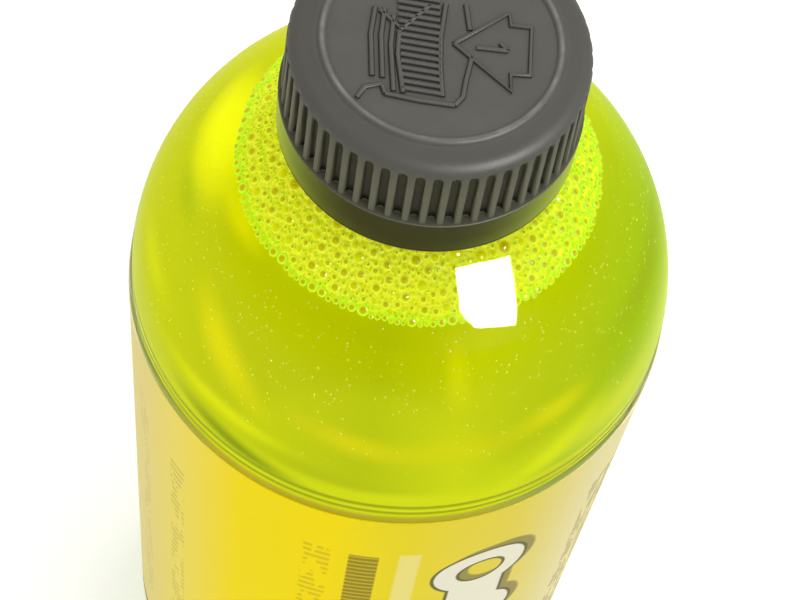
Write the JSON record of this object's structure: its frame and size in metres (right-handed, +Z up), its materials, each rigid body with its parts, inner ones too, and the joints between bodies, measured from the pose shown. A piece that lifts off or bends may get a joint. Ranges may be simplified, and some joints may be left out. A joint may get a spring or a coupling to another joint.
{
  "type": "chain cleaner bottle",
  "caption": "Round clear bottle of bright chain cleaner with a hemispherical shoulder, a wrap label and a ribbed push-and-turn safety cap over a threaded inner cap.",
  "frame": {"origin": "centre of the standing ring's plane, on the bottle's axis", "axes": "+Z up along the bottle's axis; the label's glued lap is at the back, on +Y"},
  "size_m": [0.0704, 0.0704, 0.1695],
  "materials": {
    "clear_bottle": "clear blown PET, glossy",
    "label_film": "printed film, satin",
    "cleaner": "clear fluorescent yellow-green liquid",
    "foam": "wet bubbles",
    "cap_plastic": "moulded polypropylene, satin black-grey",
    "inner_cap_plastic": "moulded polypropylene, natural white",
    "liner_foam": "foamed polyethylene disc"
  },
  "bodies": {
    "bottle": {"bottle": "clear_bottle", "bottle_neck": "clear_bottle", "label": "label_film", "cleaner_fluid": "cleaner", "foam": "foam"},
    "liner": {"liner": "liner_foam"},
    "inner_cap": {"inner_cap": "inner_cap_plastic"},
    "outer_cap": {"outer_cap": "cap_plastic"}
  },
  "joints": [
    {"name": "cap_lift", "type": "slide", "parent": "bottle", "child": "liner", "axis": [0, 0, 1], "range_m": [0, 0.019]},
    {"name": "cap_turn", "type": "hinge", "parent": "liner", "child": "inner_cap", "pos_m": [0, 0, 0.1633], "axis": [0, 0, 1], "range_deg": [0, 1620]},
    {"name": "cap_push", "type": "slide", "parent": "inner_cap", "child": "outer_cap", "axis": [0, 0, -1], "range_m": [0, 0.0012], "stiffness_N_per_m": 8000}
  ],
  "couplings": [
    {"joint": "cap_turn", "follows": "cap_lift", "rad_per_m": 1485.4}
  ]
}
